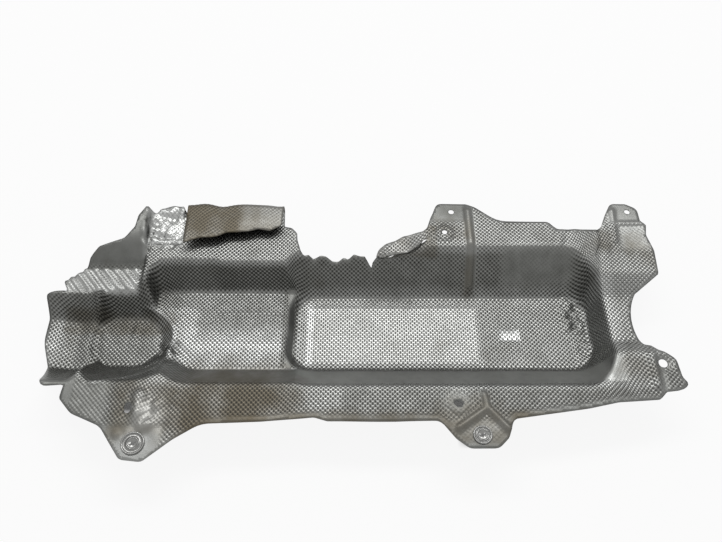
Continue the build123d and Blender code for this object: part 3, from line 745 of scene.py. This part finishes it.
# painted shade on the walls: heights where it begins and ends, how it gains towards the far
# side, and the two places that stay free of it
paintedWallShade = {
    "low": (6, 14), "high": (57, 8), "least": 0.25, "gain": (-20, 30), "strength": 0.75,
    "endX": (258, 12), "endY": (70, 30), "bowlSide": (-325, -270, -90, 30, 12, 0.9),
}


def stainMask(x, y):
    # brown heat stain, also on the folded flap, whose right part is weaker
    f = stainedFlap
    onFlap = (y > f["near"]) & (x < f["right"]) & (x > f["left"])
    flap = onFlap * (1 - f["weaker"] * rise(x, f["weak"]))
    return strongest(x, y, stainPatches, flap, added(x, y, stainedEnd), added(x, y, stainedFar))


def cleanAndSheenMask(x, y):
    # brighter metal, partly clean and partly painted sheen, with the painted highlights of the
    # torn strip and the bowl's rim
    s = stripHighlight
    strip = soft(x, y, s["shape"]) * (y - s["slope"] * x > s["start"])
    return strongest(x, y, cleanAndSheenPatches, strip, bowlRimHighlight(x, y))


def bowlRimHighlight(x, y):
    # painted highlight line of the bowl's rim: a bell over the height of its wall, and drawn lines
    rim = bowlRim
    bowl = recessHeight(x, y, **recessValues["bowl"])
    rimHighlight = (np.exp(-((bowl - rim["highlightLevel"]) / rim["width"]) ** 2)
            * rise(x, rim["highlightLeft"]) * (y > rim["highlightY"][0]) * (y < rim["highlightY"][1]))
    return np.maximum(rimHighlight, ramp(1 - nearestLine(x, y, rim["highlightLines"]) / rim["highlightWidth"]))


def sootAndShadeMask(x, y, z):
    # painted shade on the walls, more on the far ones, in the bowl, on the step, the shoulder and
    # the drawn far wall; the other patches and two lugs are only darker
    s = paintedWallShade
    wall = rise(z, s["low"]) * fall(z, s["high"])
    wall *= s["least"] + (1 - s["least"]) * rise(y, s["gain"])
    wall *= 1 - rise(x, s["endX"]) * fall(y, s["endY"])
    wall *= 1 - soft(x, y, s["bowlSide"])
    return strongest(x, y, sootAndShadePatches, s["strength"] * wall, added(x, y, darkenedLugs))


def cutBars(obj, rings, low, high):
    # upright bars with these outlines, between two heights, taken out of the object in one step
    points, faces = [], []
    for ring in rings:
        base, count = len(points), len(ring)
        points += [(px * mm, py * mm, z * mm) for z in (low, high) for px, py in ring]
        faces.append([base + k for k in range(count)][::-1])
        faces.append([base + count + k for k in range(count)])
        faces += [[base + k, base + (k + 1) % count, base + count + (k + 1) % count,
                   base + count + k] for k in range(count)]
    mesh = bpy.data.meshes.new("bars")
    mesh.from_pydata(points, [], faces)
    bars = linked("bars", mesh)
    applied(obj, "BOOLEAN", operation="DIFFERENCE", solver="MANIFOLD", object=bars)
    bpy.data.objects.remove(bars)


def holeRings():
    # outline of each hole: a circle whose halves are moved apart by the slot's half length
    angle = np.linspace(0, math.tau, 40, endpoint=False)
    return [np.stack([x + radius * np.cos(angle) + halfX * np.sign(np.cos(angle)),
                      y + radius * np.sin(angle) + halfY * np.sign(np.sin(angle))], -1)
            for x, y, radius, halfX, halfY in holeValues.values()]


shieldSheet = linked("shieldSheet", buildSheet())
cutBars(shieldSheet, holeRings(), *sheetValues["bars"])
applied(shieldSheet, "WELD", merge_threshold=sheetValues["weld"] * mm)
keepLargest(shieldSheet)
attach(shieldSheet, "root")
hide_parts("shield_panel")
print("sheet built", len(shieldSheet.data.polygons))


clipValues = {
    "left": dict(x=-307.0, y=-168.0, radius=14.0, turn=0.5),
    "middle": dict(x=100.0, y=-158.0, radius=11.5, turn=0.2),
    "seat": 60.0,    # height of the flange that the clip sits on
    "neck": 5.8, "around": 96,    # radius of the neck, steps round the clip
    "tongue": (4.6, 3.0), "tongueBend": 0.9,
    "slotHalf": 4.0, "slotWidth": 0.75, "eye": 0.9, "eyeHalf": 1.6,
    "barReach": 6, "firstWeld": 0.01, "lastWeld": 0.06,
}


def clipProfile(radius):
    # half section of the pressed clip, from the middle of its top round to the middle underneath
    neck = clipValues["neck"]
    roll = np.linspace(0, math.pi * 1.25, 10)
    ring = np.linspace(0, math.pi, 7)
    r = [0.0, 2.4, 4.6, *(neck + 0.9 - 0.9 * np.cos(ring)), radius - 3.2,
         *(radius - 1.25 - 1.25 * np.cos(roll)), radius - 0.6, neck, neck, neck + 1.9,
         neck + 1.9, neck - 0.9, neck - 1.1, 2.4, 0.0]
    z = [0.75, 0.75, 0.85, *(0.85 + 0.75 * np.sin(ring)), 0.8,
         *(1.15 + 1.1 * np.sin(roll)), 0.02, 0.02, -1.2, -1.25,
         -1.9, -1.95, -0.1, 0.05, 0.05]
    return np.array(r), np.array(z)


def buildClip(name, x, y, radius, turn):
    # the profile is carried round the clip's axis; the two tongues beside the slot bend down by
    # the sine of the angle from the slot
    r, z = clipProfile(radius)
    v = clipValues
    around = v["around"]
    angle = np.linspace(0, math.tau, around, endpoint=False) + turn
    px = r[:, None] * np.cos(angle)
    py = r[:, None] * np.sin(angle)
    bend = v["tongueBend"] * fall(r[:, None], v["tongue"]) * np.abs(np.sin(angle - turn))
    pz = z[:, None] - bend
    points = np.stack([px + x, py + y, pz + v["seat"]], -1).reshape(-1, 3) * mm
    k = np.arange(len(r) - 1)[:, None] * around
    m = np.arange(around)[None, :]
    quads = np.stack([k + m, k + around + m, k + around + (m + 1) % around,
                      k + (m + 1) % around], -1).reshape(-1, 4)
    mesh = bpy.data.meshes.new(name)
    mesh.from_pydata(points.tolist(), [], quads.tolist())
    clip = linked(name, mesh)
    applied(clip, "WELD", merge_threshold=v["firstWeld"] * mm)
    low, high = v["seat"] - v["barReach"], v["seat"] + v["barReach"]
    cutBars(clip, [slotRing(x, y, turn)], low, high)
    applied(clip, "WELD", merge_threshold=v["lastWeld"] * mm)
    keepLargest(clip)
    clip.data.polygons.foreach_set("use_smooth", np.ones(len(clip.data.polygons), bool))
    return clip


def slotRing(x, y, turn):
    # outline of the long slot: a flattened ellipse with a round eye in its middle
    t = np.linspace(0, math.tau, 48, endpoint=False)
    v = clipValues
    reach = v["slotHalf"] * np.sign(np.cos(t)) * np.abs(np.cos(t)) ** 0.4
    side = v["slotWidth"] * np.sin(t) * (1 + v["eye"] * np.exp(-(reach / v["eyeHalf"]) ** 2))
    return np.stack([x + reach * math.cos(turn) - side * math.sin(turn),
                     y + reach * math.sin(turn) + side * math.cos(turn)], -1)


leftClip = buildClip("leftStudClip", **clipValues["left"])
middleClip = buildClip("middleStudClip", **clipValues["middle"])
for clip, node in ((leftClip, "stud_clip_left"), (middleClip, "stud_clip_middle")):
    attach(clip, "root")
    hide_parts(node)
print("clips built")


class Sock:
    # wraps a node socket, so that shader maths reads as plain expressions
    def __init__(self, tree, value):
        self.tree, self.value = tree, value

    def maths(self, operation, *others):
        return self.tree.node("ShaderNodeMath", {"operation": operation},
                              [self.value, *others])

    def __add__(self, other): return self.maths("ADD", other)
    def __sub__(self, other): return self.maths("SUBTRACT", other)
    def __rsub__(self, other): return Sock(self.tree, other).maths("SUBTRACT", self)
    def __mul__(self, other): return self.maths("MULTIPLY", other)


class Tree:
    # the nodes of one material or of the world
    def __init__(self, owner):
        self.owner = owner
        owner.use_nodes = True
        self.nodes, self.links = owner.node_tree.nodes, owner.node_tree.links
        self.nodes.clear()

    def node(self, kind, settings=None, inputs=(), out=0):
        made = self.nodes.new(kind)
        for key, value in (settings or {}).items():
            setattr(made, key, value)
        for key, value in inputs.items() if isinstance(inputs, dict) else enumerate(inputs):
            self.feed(made.inputs[key], value)
        return Sock(self, made.outputs[out]) if made.outputs else made

    def feed(self, socket, value):
        if isinstance(value, Sock):
            value = value.value
        if isinstance(value, bpy.types.NodeSocket):
            self.links.new(value, socket)
        elif value is not None:
            socket.default_value = value

    def noise(self, place, scale, detail=2.0, roughness=0.5):
        return self.node("ShaderNodeTexNoise", {}, {"Vector": place, "Scale": scale,
                                                    "Detail": detail, "Roughness": roughness})

    def bump(self, strength, depth, height, normal=None):
        return self.node("ShaderNodeBump", {}, {"Strength": strength, "Distance": depth,
                                                "Height": height, "Normal": normal})

    def metal(self, colour, metallic, rough, normal):
        shader = self.node("ShaderNodeBsdfPrincipled", {}, {
            "Base Color": colour, "Metallic": metallic, "Roughness": rough, "Normal": normal})
        self.node("ShaderNodeOutputMaterial", {}, {"Surface": shader})
        return self.owner

    def seen(self):
        # one for rays that come from the camera, off a mirror or through glass
        path = self.nodes.new("ShaderNodeLightPath").outputs
        return Sock(self, path["Is Camera Ray"]).maths("MAXIMUM", path["Is Glossy Ray"]).maths(
            "MAXIMUM", path["Is Transmission Ray"])

    def parts(self, vector):
        outputs = self.node("ShaderNodeSeparateXYZ", {}, [vector]).value.node.outputs
        return Sock(self, outputs[0]), Sock(self, outputs[1])

    def range(self, value, low, high, toLow=0.0, toHigh=1.0):
        return self.node("ShaderNodeMapRange", {}, [value, low, high, toLow, toHigh])

    def field(self, name):
        return self.node("ShaderNodeAttribute", {"attribute_name": name}, out=2)

    def mix(self, factor, a, b):
        made = self.nodes.new("ShaderNodeMix")
        made.data_type = "RGBA"
        self.feed(made.inputs[0], factor)
        self.feed(made.inputs[6], a)
        self.feed(made.inputs[7], b)
        return Sock(self, made.outputs[2])


# the clean colour also paints sheen and highlights, the sooty colour paints shade on walls and in
# recesses, and the groove colour paints shade in the dot grooves and creases
# the sheet's colours, its noises as scale, detail and roughness, and how strongly things show
metalValues = {
    "cleanAndSheen": (0.60, 0.61, 0.60, 1),
    "bright": (0.325, 0.329, 0.318, 1),
    "dull": (0.172, 0.174, 0.163, 1),
    "plain": (0.09, 0.092, 0.087, 1),
    "sootAndShadeColour": (0.085, 0.085, 0.076, 1),
    "grooveShade": (0.03, 0.03, 0.027, 1),
    "brown": (0.066, 0.052, 0.030, 1),
    "tan": (0.115, 0.095, 0.062, 1),
    "metallic": 0.92,
    "clouds": (22.0, 4.0, 0.6), "blotches": (70.0, 5.0, 0.65), "grain": (900.0, 2.0),
    "dotSharpness": 0.5, "dotDepth": 0.00095, "grainStrength": 0.25, "grainDepth": 0.0003,
    "padHeight": 0.25, "padGroove": 0.15,
    "stainBreak": 1.4, "stainRange": (0.15, 1.05), "stainShare": 0.85,
    "sootAndShadeBreak": 0.7, "sootAndShadeRange": (0.15, 0.95), "sootAndShadeShare": 0.7,
    "dullRange": (0.35, 0.65, 0.0, 0.5), "cleanAndSheenShare": 0.8, "plainShare": 0.62,
    "grooveShadeShare": 0.92, "creaseShadeShare": 0.9, "roughness": (0.3, 0.7, 0.19, 0.29),
    "stainRough": 0.16, "sootAndShadeRough": 0.06, "grooveRough": 0.1, "plainRough": 0.12,
}


def embossedMetal():
    # Silver sheet. A dot's height is the square root of half of 1 + cos(pi i) cos(pi j) over the
    # lattice, so it is round on top with a sharp groove round it; shade is painted into the
    # grooves.
    t = Tree(bpy.data.materials.new("embossedMetal"))
    v = metalValues
    flat = t.node("ShaderNodeUVMap", {"uv_map": "flatSheet"})
    i, j = t.parts(t.node("ShaderNodeUVMap", {"uv_map": "dotLattice"}))
    dots = (i * math.pi).maths("COSINE") * (j * math.pi).maths("COSINE") * 0.5 + 0.5
    dots = dots.maths("MAXIMUM", 0.0)
    emboss, pad, cleanAndSheen = t.field("emboss"), t.field("pad"), t.field("cleanAndSheen")
    height = dots.maths("POWER", v["dotSharpness"]) * emboss * (1 - pad * v["padHeight"])
    grooveShade = (1 - dots) * emboss * (1 - pad * v["padGroove"])
    clouds, blotches = t.noise(flat, *v["clouds"]), t.noise(flat, *v["blotches"])
    stain = t.range(t.field("stain") + (clouds - 0.5) * v["stainBreak"], *v["stainRange"])
    sootAndShade = t.range(t.field("sootAndShade") + (blotches - 0.5) * v["sootAndShadeBreak"], *v["sootAndShadeRange"])
    colour = t.mix(t.range(clouds, *v["dullRange"]), v["bright"], v["dull"])
    # painted sheen: brighter where clean and where highlights fall
    colour = t.mix(cleanAndSheen * v["cleanAndSheenShare"], colour, v["cleanAndSheen"])
    # painted shade: darker on the walls and in the recesses
    colour = t.mix(sootAndShade * v["sootAndShadeShare"], colour, v["sootAndShadeColour"])
    colour = t.mix((1 - emboss) * (1 - cleanAndSheen) * v["plainShare"], colour, v["plain"])
    colour = t.mix(stain * v["stainShare"], colour, t.mix(blotches, v["brown"], v["tan"]))
    # painted shade: grooves and creases darkened in colour
    dark = (grooveShade * v["grooveShadeShare"]).maths("MAXIMUM", t.field("creaseShade") * v["creaseShadeShare"])
    colour = t.mix(dark, colour, v["grooveShade"])
    rough = (t.range(blotches, *v["roughness"]) + stain * v["stainRough"]
             + sootAndShade * v["sootAndShadeRough"] + grooveShade * v["grooveRough"] + (1 - emboss) * v["plainRough"])
    bump = t.bump(v["grainStrength"], v["grainDepth"], t.noise(flat, *v["grain"]) + blotches * 0.5,
                  t.bump(1.0, v["dotDepth"], height))
    return t.metal(colour, v["metallic"], rough, bump)


steelValues = {
    "pale": (0.30, 0.30, 0.29, 1), "dark": (0.12, 0.12, 0.115, 1), "metallic": 0.9,
    "scuffs": (300.0, 4.0, 0.6), "roughness": (0.3, 0.7, 0.18, 0.34),
    "bumpStrength": 0.2, "bumpDepth": 0.0002,
}


def clipSteel():
    # bright plated spring steel, a little scuffed: the scuffs are darker, rougher and raised
    t = Tree(bpy.data.materials.new("clipSteel"))
    v = steelValues
    scuffs = t.noise(t.node("ShaderNodeTexCoord", {}, out=3), *v["scuffs"])
    return t.metal(t.mix(scuffs, v["pale"], v["dark"]), v["metallic"],
                   t.range(scuffs, *v["roughness"]),
                   t.bump(v["bumpStrength"], v["bumpDepth"], scuffs))


shieldSheet.data.materials.clear()
shieldSheet.data.materials.append(embossedMetal())
steel = clipSteel()
for clip in (leftClip, middleClip):
    clip.data.materials.clear()
    clip.data.materials.append(steel)
print("materials made")


stageValues = {
    "floorSize": 6.0,
    "floorColour": (0.8, 0.8, 0.8, 1),
    "white": (1, 1, 1, 1),
    "glow": 0.9,    # how far the floor shows white instead of lit paper
    "worldLight": 0.45,
    "keyPlace": (0.0, 1.35, 2.4),
    "keyPower": 44.0,
    "keySize": (3.4, 0.55),
    # the floor that the shield hides from the light: left, right, near, far
    "shades": [(-0.360, 0.140, -0.102, 0.080), (0.090, 0.120, -0.142, -0.100),
               (-0.336, -0.315, -0.151, -0.100)],
    "shadeSoft": 0.012,
    "cameraPlace": (-0.04216, -0.44388, 0.85181),
    "cameraPitch": 33.0,
    "lens": 35.02,
}


def whiteWorld():
    # pale studio all round: white to the eye and in reflections, softer as light
    t = Tree(bpy.data.worlds.new("studio"))
    bpy.context.scene.world = t.owner
    strength = t.range(t.seen(), 0.0, 1.0, stageValues["worldLight"], 1.0)
    back = t.node("ShaderNodeBackground", {}, [stageValues["white"], strength])
    t.node("ShaderNodeOutputWorld", {}, [back])


def paleFloor():
    # large pale floor that shows white and keeps the shield's shadow; beneath the shield it shows
    # no white inside rectangles with a soft border
    half = stageValues["floorSize"] / 2
    mesh = bpy.data.meshes.new("studioFloor")
    mesh.from_pydata([(-half, -half, 0), (half, -half, 0), (half, half, 0), (-half, half, 0)],
                     [], [(0, 1, 2, 3)])
    floor = linked("studioFloor", mesh)
    t = Tree(bpy.data.materials.new("floorPaper"))
    paper = t.node("ShaderNodeBsdfDiffuse", {}, {"Color": stageValues["floorColour"]})
    glow = t.node("ShaderNodeEmission", {}, {"Color": stageValues["white"], "Strength": 1.0})
    x, y = t.parts(t.node("ShaderNodeTexCoord", {}, out=3))
    edge = stageValues["shadeSoft"]
    shade = 0.0
    for left, right, near, far in stageValues["shades"]:
        across = t.range(x, left - edge, left) * t.range(x, right + edge, right)
        shade = (across * t.range(y, near - edge, near)
                 * t.range(y, far + edge, far)).maths("MAXIMUM", shade)
    shader = t.node("ShaderNodeMixShader", {}, [t.seen() * stageValues["glow"] * (1 - shade),
                                                paper, glow])
    t.node("ShaderNodeOutputMaterial", {}, {"Surface": shader})
    mesh.materials.append(t.owner)


def keyLamp():
    # long soft box that points at the origin
    light = bpy.data.lights.new("keyLamp", "AREA")
    light.energy = stageValues["keyPower"]
    light.shape = "RECTANGLE"
    light.size, light.size_y = stageValues["keySize"]
    lamp = linked("keyLamp", light)
    x, y, z = lamp.location = stageValues["keyPlace"]
    lamp.rotation_euler = (math.atan2(math.hypot(x, y), z), 0, math.atan2(x, -y))


def photoCamera():
    # the photograph's view
    view = bpy.data.cameras.new("photoView")
    view.lens = stageValues["lens"]
    view.sensor_width = 36
    camera = linked("photoView", view)
    camera.location = stageValues["cameraPlace"]
    camera.rotation_euler = (math.radians(stageValues["cameraPitch"]), 0, 0)
    bpy.context.scene.camera = camera


whiteWorld()
paleFloor()
keyLamp()
photoCamera()
bpy.context.scene.view_settings.view_transform = "Standard"
print("stage set")
